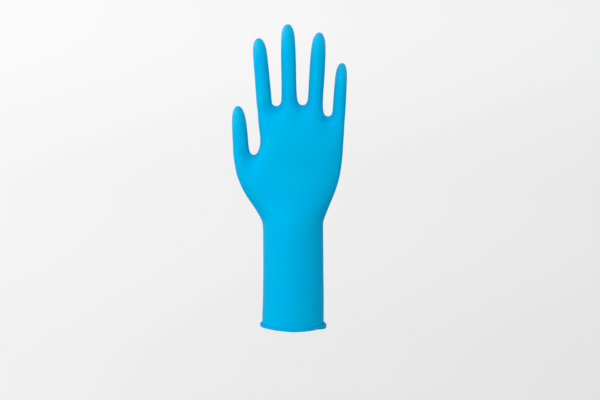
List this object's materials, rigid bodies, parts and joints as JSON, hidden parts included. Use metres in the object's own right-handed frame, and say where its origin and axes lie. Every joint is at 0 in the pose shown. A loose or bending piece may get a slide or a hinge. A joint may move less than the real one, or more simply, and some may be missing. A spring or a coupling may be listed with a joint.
{
  "type": "examination glove",
  "caption": "Long-cuff examination glove in smooth satin film, fingers spread, open at the wrist, with a rolled bead round the opening.",
  "frame": {"origin": "centre of the wrist opening, level with the underside of the rolled bead", "axes": "+Z from the wrist opening to the fingertips, +X towards the little finger, -Y out of the nearer face of the hand"},
  "size_m": [0.1138, 0.0648, 0.2989],
  "materials": {
    "film": "satin"
  },
  "bodies": {
    "root": {"glove": "film"}
  },
  "joints": []
}
